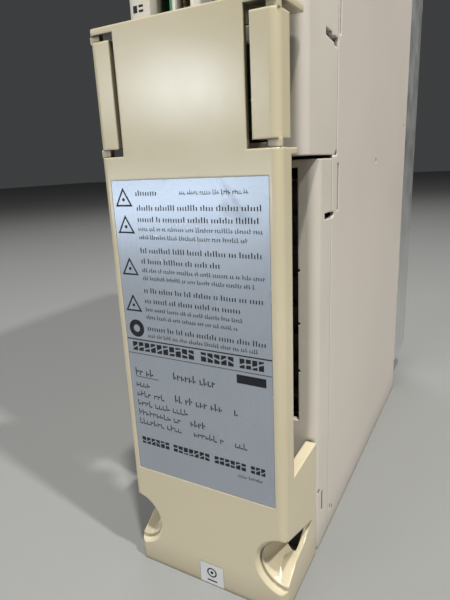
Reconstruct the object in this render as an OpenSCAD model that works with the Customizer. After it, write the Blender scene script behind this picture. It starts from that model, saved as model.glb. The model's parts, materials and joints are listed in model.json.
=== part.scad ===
// Narrow wall-mounted servo drive with an unclipping terminal cover.
// X runs across the drive, Y runs from its front (-Y) to its heat sink (+Y), Z is up.
// Inside the modules Y is counted from the cover's front face; seat() centres the drive.

/* [Casing] */
// Width of the whole drive
width = 70; // [69:0.5:74]
// Height of the casing
height = 380; // [378:1:384]
// Depth of the casing, from the cover's face to the mounting plate's back
case_depth = 219; // [217:1:224]
// Thickness of the sheet steel side panels
sheet = 1.5; // [1.2:0.1:1.5]
// Wall of the moulded bezel and frame
moulded_wall = 2.5; // [2.2:0.1:2.6]

/* [Heat sink] */
// Depth of the heat sink behind the mounting plate
sink_depth = 47; // [44:1:50]
// Number of fins
fin_count = 10; // [8:1:10]
// Thickness of the heat sink's base
sink_base = 8; // [7:0.5:9]
// Distance from the casing's top and bottom to the heat sink
sink_inset = 21; // [20:1:22]

/* [Terminal cover] */
// Height of the terminal cover
cover_h = 216; // [216:1:218]
// Wall thickness of the terminal cover
cover_wall = 2; // [1.8:0.1:2.2]
// Height of the cover's deep lower box
box_h = 56.4; // [55:0.2:58]
// Depth of the cover's deep lower box
box_depth = 34.8; // [34:0.1:34.9]
// Depth of the cover's shallow side walls
side_depth = 9.1; // [8.5:0.1:9.5]
// Radius of the scoop in each lower corner
scoop_r = 11.6; // [10.6:0.2:12]
// Height of the scoop's centre
scoop_z = 21.4; // [20:0.2:22]

/* [Front casing] */
// Front plane of the upper bezel
bezel_y = 22.2; // [22:0.1:22.6]
// Back edge of the upper bezel
bezel_back = 58; // [57.5:0.1:58.2]
// Front plane of the lower frame
frame_y = 35.4; // [35.2:0.1:35.8]
// Back edge of the lower frame
frame_back = 52; // [51.5:0.1:52.2]
// Height at which the bezel begins
split_z = 172; // [171.8:0.1:172.2]

/* [Connections] */
// Number of poles on the terminal block
pole_count = 7; // [5:1:7]
// Distance between poles
pole_pitch = 13; // [12:0.5:13]
// Number of plug sockets on the control board
socket_count = 4; // [3:1:4]
// Distance between plug sockets
socket_pitch = 27; // [26:0.5:27]

/* [Travel] */
// How far a latch tab can be squeezed inwards
tab_travel = 1.6; // [1:0.1:1.6]
// Diameter of the fan's blades
fan_d = 54; // [50:1:54]

/* [Hidden] */

half = width / 2;
total_depth = case_depth + sink_depth;
gap = 0.3;                    // seam between neighbouring casing parts
seam = 1.2;                   // wider seam between the frame and the bezel
cut = 0.5;                    // how far a cutting solid runs past a face
round_fn = 64;

corner_cover = 3;             // radius of the cover's vertical corners
corner_bezel = 4.4;
corner_frame = 4.4;
scoop_l = 27.7;                // depth of a scoop's taper

inner = half - sheet - 0.1;   // half the width between the side panels
plate_t = 3;                  // mounting plate
mount_hole_r = 2.5;           // M5 thread
mount_inset = 10;             // mounting holes from top and bottom
boss_r = 5;
boss_l = 5;
case_screw_x = 28;
sink_screw_x = 27;
sink_screw_z = [60, 190, 320];

slot_x = 24;                  // inner edge of the openings beside the latch tabs
slot_z0 = 174.4;
slot_z1 = 214;
rib_x = 17;                   // stiffening ribs behind the panel between the tabs
tab_x0 = 26;                  // inner face of a latch tab
tab_z0 = 177;
tab_z1 = 211.7;
tab_side = half - gap;        // outer face of a latch tab
neck_w = 4;
hook_x0 = tab_x0;             // inner face of a latch hook
hook_t = 1.6;
hook_z0 = 189;
hook_h = 10;
hook_end = 28;
hook_barb = 0.8;
slot_w = hook_t + hook_barb + tab_travel + 1.1;
slot_mid = hook_x0 + (hook_t + hook_barb - tab_travel) / 2;

bay_x = 24;                   // half width of the plug bay
bay_z0 = 214;
bay_z1 = 330;
bay_return = 7.3;             // depth of the bay's side walls

wire_x = 27.2;                // half width of the terminal opening
wire_z0 = 65;
wire_z1 = 168;

block_y = 52;                 // front of the terminal block
block_z = 115;                // middle of the terminal block
pole_columns = [-17, 0];      // screw columns
strip_x0 = -23;               // ends of the contact strips
strip_x1 = 6;

board_t = 1.6;
control_x = -17.8;            // left face of the control board
control_y0 = 26;
control_z0 = 182;
control_z1 = 329;
power_x = -29;                // left face of the power board
power_z0 = 20;
power_z1 = 172;
power_y0 = 84;
power_y1 = 196;

fan_y = 120;
fan_size = 60;
fan_t = 25;
top_z = height - 4;           // underside of the top plate
fan_z0 = top_z - fan_t;
fan_hole = 25;                // fan screw holes from the fan's axis

display_y = 33;               // front face of the display board
dial_x = 6;
dial_z = 355;
dial_r = 3.8;
button_x = 24;
button_z = 363;
button_r = 2.4;
lamp_z = 347;
window_x0 = -25;
window_w = 18;
window_z0 = 347;
window_h = 16;
dip_x0 = -22;
dip_z0 = 335;
dip_pitch = 3;
dip_count = 4;

module_x = 22;                // half width of the power module
module_z0 = 108;
module_z1 = 176;
module_h = 24;

// Moves a part from the cover-face frame to the drive's own frame.
module seat() {
    translate([0, -total_depth / 2, 0]) children();
}

// Box given by its low and high corners.
module span(low, high) {
    translate(low) cube([high[0] - low[0], high[1] - low[1], high[2] - low[2]]);
}

// Rod along Y from y0 to y1.
module rod_y(x, z, y0, y1, r) {
    translate([x, y0, z]) rotate([-90, 0, 0]) cylinder(h = y1 - y0, r = r, $fn = round_fn);
}

// Rod along X from x0 to x1.
module rod_x(y, z, x0, x1, r) {
    translate([x0, y, z]) rotate([0, 90, 0]) cylinder(h = x1 - x0, r = r, $fn = round_fn);
}

// Rod along Z from z0 to z1.
module rod_z(x, y, z0, z1, r) {
    translate([x, y, z0]) cylinder(h = z1 - z0, r = r, $fn = round_fn);
}

// Outline, seen from above, of a box with two rounded front corners.
module rounded_front(x, y0, y1, r) {
    translate([-x, y0 + r]) square([2 * x, y1 - y0 - r]);
    translate([-x + r, y0]) square([2 * (x - r), y1 - y0]);
    for (side = [-1, 1]) translate([side * (x - r), y0 + r]) circle(r = r, $fn = round_fn);
}

// Upright shell open at the back, with rounded front corners.
module front_shell(x, y0, y1, r, wall, z0, z1) {
    translate([0, 0, z0]) linear_extrude(height = z1 - z0) difference() {
        rounded_front(x, y0, y1, r);
        rounded_front(x - wall, y0 + wall, y1 + cut, max(r - wall, 0.5));
    }
}

// Plate standing in the YZ plane, from an outline given as [y, z] points.
module upright_plate(x, thickness, points) {
    translate([x, 0, 0]) rotate([90, 0, 90]) linear_extrude(height = thickness) polygon(points);
}

// Pan head screw along -Y: the head stands in front of y.
module pan_screw_y(x, z, y, shank, head_r, head_h, shank_r) {
    difference() {
        rod_y(x, z, y - head_h, y, head_r);
        for (turn = [0, 90]) translate([x, y - head_h, z]) rotate([0, turn, 0])
            cube([head_r * 1.3, head_h, head_r * 0.24], center = true);
    }
    rod_y(x, z, y, y + shank, shank_r);
}

// ---------------------------------------------------------------- casing

module side_panel(side) {
    slit_z0 = 150.3;
    slit_z1 = 168.8;
    slit_w = 1.7;
    outline = [[frame_back + gap, 0], [case_depth, 0], [case_depth, height],
        [bezel_back + gap, height], [bezel_back + gap, split_z], [frame_back + gap, split_z]];
    flange_w = 11;
    color([0.77, 0.73, 0.68]) seat() mirror([side < 0 ? 1 : 0, 0, 0]) {
        difference() {
            upright_plate(half - sheet, sheet, outline);
            span([half - 3, 59.8, slit_z0], [half + cut, 59.8 + slit_w, slit_z1]);
            span([half - 3, 60, bay_z0 + 1.6], [half + cut, 60 + slit_w, 300]);
            panel_notch();
            for (dimple = [[130.7, 169.2], [59.2, 7.9], [56, 10.4], [209, 189.5]])
                rod_x(dimple[0], dimple[1], half - 0.5, half + cut, 1.1);
        }
        // return flange in front of the mounting plate
        difference() {
            span([half - sheet - flange_w, case_depth - plate_t - sheet, 3],
                [half - sheet + 0.01, case_depth - plate_t, height - 5]);
            for (z = [mount_inset, height - mount_inset])
                rod_y(case_screw_x, z, case_depth - 10, case_depth, 2.1);
            for (z = sink_screw_z) rod_y(sink_screw_x, z, case_depth - 10, case_depth, 2.1);
            span([half - 20, case_depth - 8, module_z0 - 5],
                [half - sheet - 3, case_depth, module_z1 + 5]);
        }
    }
}

// Slanted hook hole that crosses the seam between the frame and the panel.
module panel_notch() {
    upright_plate(half - 4, 4 + cut,
        [[43.4, 148.1], [52, 148.1], [55.3, 149], [55.3, 150], [48.6, 150.5], [43.4, 150.5]]);
    // the moulding is thinned behind the hole
    span([half - 4, 41, 145], [half - 1.2, frame_back - 2, 153]);
}

// Stepped hook hole in the side of the upper bezel.
module bezel_notch() {
    upright_plate(half - 4, 4 + cut, [[42.9, 212.1], [52.4, 211.3], [53.6, 210.4], [bezel_back + cut, 210.4],
        [bezel_back + cut, 213.6], [53.4, 213.8], [50.3, 213.2], [50, 214.5], [42.9, 214.6]]);
    // the moulding is thinned behind the hole
    span([half - 4, 40.5, 207.5], [half - 1.2, bezel_back - 2, 217]);
    // clipped lower corner beside the panel
    upright_plate(half - 4, 4 + cut, [[54.4, split_z - cut], [bezel_back + cut, split_z - cut],
        [bezel_back + cut, split_z + 3.2]]);
}

module side_panel_right() { side_panel(1); }

module side_panel_left() { side_panel(-1); }

module mounting_plate() {
    color([0.74, 0.71, 0.66]) seat() difference() {
        union() {
            span([-inner, case_depth - plate_t, 0], [inner, case_depth, height]);
            for (z = [mount_inset, height - mount_inset])
                rod_y(0, z, case_depth - plate_t - boss_l, case_depth, boss_r);
        }
        for (z = [mount_inset, height - mount_inset]) {
            rod_y(0, z, case_depth - 20, case_depth + cut, mount_hole_r);
            for (x = [-case_screw_x, case_screw_x]) {
                rod_y(x, z, case_depth - 20, case_depth + cut, 2.1);
                rod_y(x, z, case_depth - 1.9, case_depth + cut, 3.6);
            }
        }
        // window through which the power module reaches the heat sink
        span([-module_x - 1, case_depth - 10, module_z0 - 1],
            [module_x + 1, case_depth + cut, module_z1 + 1]);
        for (x = [-sink_screw_x, sink_screw_x], z = sink_screw_z)
            rod_y(x, z, case_depth - 10, case_depth + cut, 2.1);
    }
}

module vent_rows(x_half, y0, y1, pitch, z0, z1) {
    for (y = [y0 : pitch : y1]) for (side = [-1, 1])
        span([side * x_half / 2 - x_half / 2 + 2, y, z0], [side * x_half / 2 + x_half / 2 - 2, y + 3, z1]);
}

module top_plate() {
    color([0.77, 0.73, 0.68]) seat() difference() {
        span([-inner, bezel_back + gap, top_z], [inner, case_depth - plate_t - 0.1, top_z + sheet]);
        rod_z(0, fan_y, top_z - cut, top_z + 4, 27.5);
        for (x = [-fan_hole, fan_hole], y = [-fan_hole, fan_hole])
            rod_z(x, fan_y + y, top_z - cut, top_z + 4, 2.2);
        vent_rows(26, 160, 202, 7, top_z - cut, top_z + 4);
        vent_rows(26, 66, 82, 7, top_z - cut, top_z + 4);
    }
}

module bottom_plate() {
    color([0.77, 0.73, 0.68]) seat() difference() {
        span([-inner, frame_back + gap, 0], [inner, case_depth - plate_t - 0.1, sheet]);
        vent_rows(28, 70, 190, 7, -cut, 4);
    }
}

module upper_bezel() {
    color([0.80, 0.79, 0.75]) seat() difference() {
        union() {
            front_shell(half, bezel_y, bezel_back, corner_bezel, moulded_wall, split_z, height);
            // top wall
            translate([0, 0, height - moulded_wall]) linear_extrude(height = moulded_wall)
                rounded_front(half, bezel_y, bezel_back, corner_bezel);
            // floor with the small hook at its back corner
            translate([0, 0, split_z]) linear_extrude(height = 2)
                rounded_front(half, bezel_y, 40, corner_bezel);
            // side and top walls of the plug bay
            for (side = [-1, 1])
                span([min(side * bay_x, side * (bay_x + 2)), bezel_y + 1, bay_z0 - 2],
                    [max(side * bay_x, side * (bay_x + 2)), bezel_y + bay_return, bay_z1 + 2]);
            span([-bay_x - 2, bezel_y + 1, bay_z1], [bay_x + 2, bezel_y + bay_return, bay_z1 + 2]);
            // rims around the rotary switch and the reset button
            rod_y(dial_x, dial_z, bezel_y, bezel_y + 5, dial_r + 2);
            rod_y(button_x, button_z, bezel_y, bezel_y + 5, button_r + 1.6);
        }
        span([-bay_x, bezel_y - cut, bay_z0], [bay_x, bezel_y + 6, bay_z1]);
        bezel_notch();
        mirror([1, 0, 0]) bezel_notch();
        // way through to the terminals, behind the cover's upper panel
        span([-21, bezel_y - cut, slot_z0 + 2.6], [21, bezel_y + 4, 209]);
        // slots that the cover's latch hooks enter
        for (side = [-1, 1]) translate([side * slot_mid, bezel_y + 1, hook_z0 + hook_h / 2])
            cube([slot_w, 6, hook_h + 3], center = true);
        rod_y(dial_x, dial_z, bezel_y - cut, bezel_y + 6, dial_r + 0.3);
        rod_y(button_x, button_z, bezel_y - cut, bezel_y + 6, button_r + 0.3);
        rod_y(button_x, lamp_z, bezel_y - cut, bezel_y + 6, 2.1);
        span([window_x0, bezel_y - cut, window_z0],
            [window_x0 + window_w, bezel_y + 4, window_z0 + window_h]);
        span([window_x0 - 1.5, bezel_y - cut, window_z0 - 1.5],
            [window_x0 + window_w + 1.5, bezel_y + 1, window_z0 + window_h + 1.5]);
        span([dip_x0, bezel_y - cut, dip_z0], [dip_x0 + dip_count * dip_pitch, bezel_y + 4, dip_z0 + 6]);
    }
}

module lower_frame() {
    frame_top = split_z - seam;
    color([0.81, 0.79, 0.75]) seat() difference() {
        union() {
            front_shell(half, frame_y, frame_back, corner_frame, moulded_wall, 0, frame_top);
            for (z = [0, frame_top - 2]) translate([0, 0, z]) linear_extrude(height = 2)
                rounded_front(half, frame_y, frame_back, corner_frame);
        }
        span([-wire_x, frame_y - cut, wire_z0], [wire_x, frame_y + 4, wire_z1]);
        // way down for the motor and supply wires, and its front opening
        span([-22, frame_y - cut, -cut], [22, frame_back - 6, 4]);
        span([-22, frame_y - cut, -cut], [22, frame_y + 4, 44]);
        panel_notch();
        mirror([1, 0, 0]) panel_notch();
        for (side = [-1, 1]) {
            span([side * half - 3, 42.7, 17.2], [side * half + 3, 44.3, 27.5]);
            rod_x(39.2, 29.8, side * half - 3, side * half + 3, 1);
            span([side * (half - 1) - 2, frame_y - cut, 12.6], [side * (half - 1) + 2, frame_y + 1.6, 16.8]);
            // small cut-outs on the opening's edge
            for (z = [129.5, 107.8, 87.5])
                rod_y(side * (wire_x + 0.2), z, frame_y - cut, frame_y + 3, 0.6);
        }
    }
}

// ---------------------------------------------------------------- heat sink

module heat_sink() {
    fin_t = 1.8;
    sink_x = half - 0.5;
    y0 = case_depth;
    pitch = (2 * sink_x - fin_t) / (fin_count - 1);
    color([0.56, 0.57, 0.56]) seat() difference() {
        union() {
            span([-sink_x, y0, sink_inset], [sink_x, y0 + sink_base, height - sink_inset]);
            for (i = [0 : fin_count - 1])
                span([-sink_x + i * pitch, y0 + sink_base - 0.1, sink_inset],
                    [-sink_x + i * pitch + fin_t, y0 + sink_depth, height - sink_inset]);
        }
        for (x = [-sink_screw_x, sink_screw_x], z = sink_screw_z) rod_y(x, z, y0 - cut, y0 + 6, 2);
        for (x = [-18, 18], z = [module_z0 + 6, module_z1 - 6]) rod_y(x, z, y0 - cut, y0 + 6, 2);
    }
}

module heat_sink_screws() {
    color([0.75, 0.75, 0.74]) seat()
        for (x = [-sink_screw_x, sink_screw_x], z = sink_screw_z)
            pan_screw_y(x, z, case_depth - plate_t - sheet, 9.9, 3.5, 2.4, 1.95);
}

module case_screws() {
    color([0.75, 0.75, 0.74]) seat()
        for (x = [-case_screw_x, case_screw_x], z = [mount_inset, height - mount_inset]) {
        difference() {
            rod_y(x, z, case_depth - 1.85, case_depth - 0.1, 3.5);
            for (turn = [0, 90]) translate([x, case_depth, z]) rotate([0, turn, 0])
                cube([4.4, 2.2, 0.9], center = true);
        }
        rod_y(x, z, case_depth - 8, case_depth - 1.8, 2.0);
    }
}

// ---------------------------------------------------------------- fan

module fan_frame() {
    color([0.13, 0.13, 0.14]) seat() difference() {
        union() {
            difference() {
                span([-fan_size / 2, fan_y - fan_size / 2, fan_z0], [fan_size / 2, fan_y + fan_size / 2, top_z]);
                rod_z(0, fan_y, fan_z0 - cut, top_z + cut, 28.6);
            }
            // motor seat and its three arms
            rod_z(0, fan_y, fan_z0, fan_z0 + 3, 12);
            for (turn = [0 : 120 : 240]) translate([0, fan_y, fan_z0]) rotate([0, 0, turn + 30])
                translate([0, -1.5, 0]) cube([29.2, 3, 3]);
            rod_z(0, fan_y, fan_z0 + 2.9, fan_z0 + 14, 1.5);
        }
        for (x = [-fan_hole, fan_hole], y = [-fan_hole, fan_hole])
            rod_z(x, fan_y + y, fan_z0 - cut, top_z + cut, 2.1);
    }
}

module fan_rotor() {
    blade_count = 7;
    hub_z0 = fan_z0 + 4;
    hub_z1 = top_z - 2;
    color([0.16, 0.16, 0.17]) seat() difference() {
        union() {
            rod_z(0, fan_y, hub_z0, hub_z1, 12.5);
            for (i = [0 : blade_count - 1]) translate([0, fan_y, 0]) rotate([0, 0, i * 360 / blade_count])
                translate([12, 0, (hub_z0 + hub_z1) / 2]) rotate([38, 0, 0])
                    translate([0, -0.8, -10.5]) cube([fan_d / 2 - 12.4, 1.6, 21]);
        }
        rod_z(0, fan_y, hub_z0 - cut, fan_z0 + 14.6, 1.55);
    }
}

module fan_guard() {
    z0 = top_z + sheet;
    color([0.78, 0.78, 0.77]) seat() {
        for (r = [9, 16, 23]) translate([0, fan_y, z0 + 0.8]) rotate_extrude($fn = 96)
            translate([r, 0]) circle(r = 0.75, $fn = 16);
        for (turn = [45 : 90 : 315]) translate([0, fan_y, z0]) rotate([0, 0, turn]) difference() {
            union() {
                translate([8.4, -0.9, 0]) cube([25, 1.8, 1.5]);
                translate([fan_hole * sqrt(2), 0, 0]) cylinder(h = 1.5, r = 3.8, $fn = round_fn);
            }
            translate([fan_hole * sqrt(2), 0, -cut]) cylinder(h = 4, r = 2.2, $fn = round_fn);
        }
    }
}

module fan_screws() {
    z0 = top_z + sheet + 1.5;
    color([0.75, 0.75, 0.74]) seat() for (x = [-fan_hole, fan_hole], y = [-fan_hole, fan_hole]) {
        difference() {
            rod_z(x, fan_y + y, z0, z0 + 0.95, 3.4);
            for (turn = [0, 90]) translate([x, fan_y + y, z0 + 0.95]) rotate([0, 0, turn])
                cube([4.2, 0.8, 0.9], center = true);
        }
        rod_z(x, fan_y + y, z0 - 12, z0 + 0.05, 2.0);
    }
}

// ---------------------------------------------------------------- terminal cover

// Tapering thumb pocket in a lower corner of the cover; grow adds its wall.
module scoop_taper(side, grow) {
    translate([side * half, cover_wall - 0.2, scoop_z + 0.4]) rotate([-90, 0, 0])
        cylinder(h = scoop_l, r1 = scoop_r - 0.6 + grow, r2 = 0.4 + grow, $fn = round_fn);
}

// Everything above the pocket's rising floor, lowered by drop.
module above_ramp(drop) {
    translate([0, 0, -drop]) upright_plate(-half - 5, width + 10,
        [[1, 11.2], [3, 11.6], [10.6, 16.7], [19.9, 17.6], [24.2, 20.2], [36, 23.2], [36, 60], [1, 60]]);
}

module scoop_wall(side) {
    intersection() {
        scoop_taper(side, 1.7);
        above_ramp(1.8);
        span([-half, cover_wall - 0.1, 1], [half, 15.5, box_h - 1]);
    }
}

module scoop_cut(side) {
    chamfer = 1.3;
    rod_y(side * half, scoop_z, -cut, cover_wall + 0.5, scoop_r);
    translate([side * half, -cut, scoop_z]) rotate([-90, 0, 0])
        cylinder(h = chamfer + cut, r1 = scoop_r + chamfer + cut, r2 = scoop_r, $fn = round_fn);
    intersection() {
        scoop_taper(side, 0);
        above_ramp(0);
    }
}

module cover_shell() {
    // deep box around the bottom of the drive
    front_shell(half, 0, box_depth, corner_cover, cover_wall, 0, box_h);
    // shelf that closes the deep box at each side
    for (side = [-1, 1])
        span([side * (half - 2.2) - 2.2, 3, box_h - cover_wall], [side * (half - 2.2) + 2.2, box_depth, box_h]);
    // shallow walls in front of the wire gap
    front_shell(half, 0, side_depth, corner_cover, cover_wall, box_h - 0.1, slot_z0);
    // ledge under the latch tabs
    for (side = [-1, 1])
        span([side * (half - 5.5) - 5.5, corner_cover, slot_z0 - 2], [side * (half - 5.5) + 5.5, 14.5, slot_z0]);
    // panel between the latch tabs, with two stiffening ribs behind it
    span([-slot_x, 0, slot_z0 - 0.1], [slot_x, cover_wall, slot_z1 + 0.1]);
    for (x = [-rib_x, rib_x]) span([x - 0.8, 1, slot_z0 - 0.1], [x + 0.8, side_depth, slot_z1 + 0.1]);
    // top wall
    translate([0, 0, slot_z1]) linear_extrude(height = cover_h - slot_z1)
        rounded_front(half, 0, 20, corner_cover);
}

module terminal_cover() {
    color([0.80, 0.75, 0.62]) seat() difference() {
        union() {
            cover_shell();
            for (side = [-1, 1]) scoop_wall(side);
        }
        for (side = [-1, 1]) scoop_cut(side);
        // seat of the rating label, and of the sticker
        span([-31, -cut, 47.9], [31.2, 0.25, 166.4]);
        span([-3.9, -cut, 0.4], [7.4, 0.25, 10.6]);
    }
}

module latch_tab(side) {
    color([0.80, 0.75, 0.62]) seat() mirror([side < 0 ? 1 : 0, 0, 0]) {
        difference() {
            // raised block with a rounded outer corner
            translate([0, 0, tab_z0]) linear_extrude(height = tab_z1 - tab_z0) {
                translate([tab_x0, 0]) square([tab_side - tab_x0 - corner_cover, side_depth]);
                translate([tab_x0, corner_cover]) square([tab_side - tab_x0, side_depth - corner_cover]);
                translate([tab_side - corner_cover, corner_cover]) circle(r = corner_cover, $fn = round_fn);
            }
            span([tab_x0 + 1.6, 2, tab_z0 + 1.6], [tab_side - 1.8, 40, tab_z1 - 1.6]);
        }
        // thin necks that let the tab flex
        for (z = [[slot_z0 + 0.1, tab_z0 + 0.1], [tab_z1 - 0.1, slot_z1 - 0.1]])
            span([tab_side - neck_w, 1.2, z[0]], [tab_side, 3.2, z[1]]);
        // hook that enters the bezel
        span([hook_x0, 1.9, hook_z0], [hook_x0 + hook_t, hook_end, hook_z0 + hook_h]);
        span([hook_x0, hook_end - 1.5, hook_z0], [hook_x0 + hook_t + hook_barb, hook_end, hook_z0 + hook_h]);
    }
}

module latch_tab_right() { latch_tab(1); }

module latch_tab_left() { latch_tab(-1); }

module rating_label() {
    color([0.68, 0.71, 0.76]) seat() span([-30.9, 0.05, 48], [31.1, 0.25, 166.3]);
}

module mark_sticker() {
    color([0.93, 0.93, 0.92]) seat() span([-3.8, 0.05, 0.5], [7.3, 0.25, 10.5]);
}

// ---------------------------------------------------------------- terminals

function pole_z(i) = block_z + (i - (pole_count - 1) / 2) * pole_pitch;

module terminal_block() {
    depth = 18;
    tall = pole_count * pole_pitch + 3;
    color([0.12, 0.12, 0.13]) seat() difference() {
        union() {
            span([-26, block_y + 5, block_z - tall / 2], [26, block_y + depth, block_z + tall / 2]);
            for (i = [0 : pole_count])
                span([-26, block_y, block_z - tall / 2 + i * pole_pitch],
                    [26, block_y + 6, block_z - tall / 2 + i * pole_pitch + 3]);
        }
        for (i = [0 : pole_count - 1], x = pole_columns)
            rod_y(x, pole_z(i), block_y + 4, block_y + 14, 2.1);
    }
}

module terminal_plates() {
    color([0.80, 0.74, 0.50]) seat() for (i = [0 : pole_count - 1]) difference() {
        span([strip_x0, block_y + 3.8, pole_z(i) - 4.4], [strip_x1, block_y + 5, pole_z(i) + 4.4]);
        for (x = pole_columns) rod_y(x, pole_z(i), block_y, block_y + 8, 2.1);
    }
}

module terminal_screws() {
    color([0.76, 0.76, 0.74]) seat() for (i = [0 : pole_count - 1], x = pole_columns)
        pan_screw_y(x, pole_z(i), block_y + 3.8, 9, 3.9, 2.6, 2.0);
}

module earth_plate() {
    color([0.74, 0.74, 0.72]) seat() difference() {
        union() {
            span([-24, 46, 34], [24, 47.5, 56]);
            span([-24, 46, 32.5], [24, 50, 34]);
        }
        for (x = [-12, 12]) rod_y(x, 45, 44, 49, 2.1);
    }
}

module earth_screws() {
    color([0.76, 0.76, 0.74]) seat() for (x = [-12, 12]) pan_screw_y(x, 45, 46, 4, 4.2, 2.8, 2.0);
}

// ---------------------------------------------------------------- boards

module control_board() {
    color([0.10, 0.32, 0.18]) seat() difference() {
        span([control_x, control_y0, control_z0], [control_x + board_t, 205, control_z1]);
        for (y = [44, 196], z = [control_z0 + 8, control_z1 - 8])
            rod_x(y, z, control_x - 1, control_x + 3, 1.7);
    }
}

function socket_z(i) = 219 + i * socket_pitch;

module signal_sockets() {
    socket_h = 22;
    color([0.92, 0.91, 0.88]) seat() for (i = [0 : socket_count - 1]) {
        difference() {
            span([control_x + board_t, control_y0 - 1, socket_z(i)],
                [control_x + board_t + 9, control_y0 + 13, socket_z(i) + socket_h]);
            span([control_x + board_t + 1.3, control_y0 - 2, socket_z(i) + 1.6],
                [control_x + board_t + 7.7, control_y0 + 9, socket_z(i) + socket_h - 1.6]);
            span([control_x + board_t + 7, control_y0 - 2, socket_z(i) + socket_h / 2 - 2],
                [control_x + board_t + 10, control_y0 + 6, socket_z(i) + socket_h / 2 + 2]);
        }
        // contact tongue
        span([control_x + board_t + 1.3, control_y0 + 5, socket_z(i) + 4],
            [control_x + board_t + 2.3, control_y0 + 9.1, socket_z(i) + socket_h - 4]);
    }
}

module control_chips() {
    x0 = control_x + board_t;
    color([0.09, 0.09, 0.10]) seat() {
        for (chip = [[60, 200, 28, 28], [100, 210, 20, 20], [130, 205, 14, 22], [60, 245, 20, 20],
                [95, 250, 24, 12], [130, 245, 18, 18], [165, 240, 12, 26], [60, 290, 16, 24],
                [90, 290, 14, 14], [120, 288, 22, 10]])
            span([x0, chip[0], chip[1]], [x0 + 2.4, chip[0] + chip[2], chip[1] + chip[3]]);
    }
}

module power_board() {
    color([0.12, 0.36, 0.20]) seat() difference() {
        span([power_x, power_y0, power_z0], [power_x + board_t, power_y1, power_z1]);
        for (y = [power_y0 + 6, power_y1 - 6], z = [power_z0 + 6, power_z1 - 6])
            rod_x(y, z, power_x - 1, power_x + 3, 1.7);
    }
}

cap_r = 17.5;
cap_l = 46;
cap_y = [112, 152];
cap_z = 52;

module bus_capacitors() {
    x0 = power_x + board_t;
    color([0.15, 0.22, 0.42]) seat() for (y = cap_y) {
        difference() {
            rod_x(y, cap_z, x0, x0 + cap_l, cap_r);
            rod_x(y, cap_z, x0 + cap_l - 0.6, x0 + cap_l + cut, cap_r - 1.6);
        }
        // vent cross on the can's end
        for (turn = [0, 90]) translate([x0 + cap_l - 0.7, y, cap_z]) rotate([turn, 0, 0])
            cube([0.6, 14, 1], center = true);
    }
}

module capacitor_clamp() {
    x = power_x + 28;
    strap = 1.2;
    color([0.76, 0.76, 0.74]) seat() difference() {
        union() {
            for (y = cap_y) rod_x(y, cap_z, x, x + 9, cap_r + strap + 0.1);
            span([x, cap_y[0], cap_z - 3], [x + 9, cap_y[1], cap_z + 3]);
        }
        for (y = cap_y) rod_x(y, cap_z, x - 1, x + 10, cap_r + 0.1);
    }
}

module current_sensors() {
    x0 = power_x + board_t;
    color([0.10, 0.10, 0.11]) seat() for (z = [92, 128]) difference() {
        span([x0, 92, z - 12], [x0 + 20, 104, z + 12]);
        span([x0 + 6, 90, z - 4], [x0 + 15, 106, z + 4]);
    }
}

module relay() {
    x0 = power_x + board_t;
    color([0.16, 0.17, 0.19]) seat() {
        span([x0, 112, 84], [x0 + 22, 138, 112]);
        span([x0, 112, 118], [x0 + 22, 138, 146]);
    }
}

module power_transformer() {
    x0 = power_x + board_t;
    color([0.28, 0.26, 0.24]) seat() {
        // ferrite halves either side of the winding
        for (z = [86, 117]) span([x0 + 2, 146, z], [x0 + 27, 176, z + 7]);
        for (y = [146, 171]) span([x0 + 2, y, 92.9], [x0 + 27, y + 5, 117.1]);
        rod_z(x0 + 14.5, 161, 93.05, 116.95, 9.5);
        span([x0, 154, 88], [x0 + 2.05, 168, 122]);
    }
}

module fuse_holder() {
    x0 = power_x + board_t;
    color([0.80, 0.74, 0.50]) seat() for (z = [132, 152]) difference() {
        span([x0, 152, z], [x0 + 11, 162, z + 6]);
        rod_z(x0 + 6.2, 157, z - 1, z + 7, 3.3);
        span([x0 + 6.2, 155, z - 1], [x0 + 12, 159, z + 7]);
    }
}

module control_fuse() {
    x0 = power_x + board_t;
    color([0.86, 0.87, 0.88]) seat() rod_z(x0 + 6.2, 157, 130, 160, 3.2);
}

module bus_bars() {
    color([0.78, 0.47, 0.26]) seat() for (i = [0, 1]) {
        x = -6 + i * 12;
        z = 150 + i * 8;
        span([x, block_y + 18.1, z - 4], [x + 6, block_y + 19.6, z + 4]);
        span([x, block_y + 19.5, z - 4], [x + 1.5, case_depth - module_h - 6, z + 4]);
        span([x, case_depth - module_h - 6.1, z - 4], [x + 8, case_depth - module_h - 4.5, z + 4]);
        rod_y(x + 4, z, case_depth - module_h - 4.6, case_depth - module_h + 0.05, 3);
    }
}

module power_module() {
    y0 = case_depth - module_h;
    color([0.15, 0.15, 0.16]) seat() difference() {
        union() {
            span([-module_x, case_depth - 3.5, module_z0], [module_x, case_depth - 0.3, module_z1]);
            span([-module_x, y0 + 4, module_z0 + 12], [module_x, case_depth - 3.4, module_z1 - 12]);
            span([-module_x, case_depth - 10, module_z0], [module_x, case_depth - 3.4, module_z1]);
            span([-module_x + 4, y0 + 0.1, module_z0 + 20], [module_x - 4, y0 + 4.1, module_z1 - 20]);
        }
        for (x = [-18, 18], z = [module_z0 + 6, module_z1 - 6])
            rod_y(x, z, case_depth - 12, case_depth + 1, 2.3);
    }
}

module thermal_pad() {
    color([0.90, 0.90, 0.88]) seat() difference() {
        span([-module_x, case_depth - 0.3, module_z0], [module_x, case_depth, module_z1]);
        for (x = [-18, 18], z = [module_z0 + 6, module_z1 - 6])
            rod_y(x, z, case_depth - 2, case_depth + 1, 2.6);
    }
}

module module_screws() {
    color([0.75, 0.75, 0.74]) seat() for (x = [-18, 18], z = [module_z0 + 6, module_z1 - 6])
        pan_screw_y(x, z, case_depth - 10, 15.5, 3.6, 2.4, 1.95);
}

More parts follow.
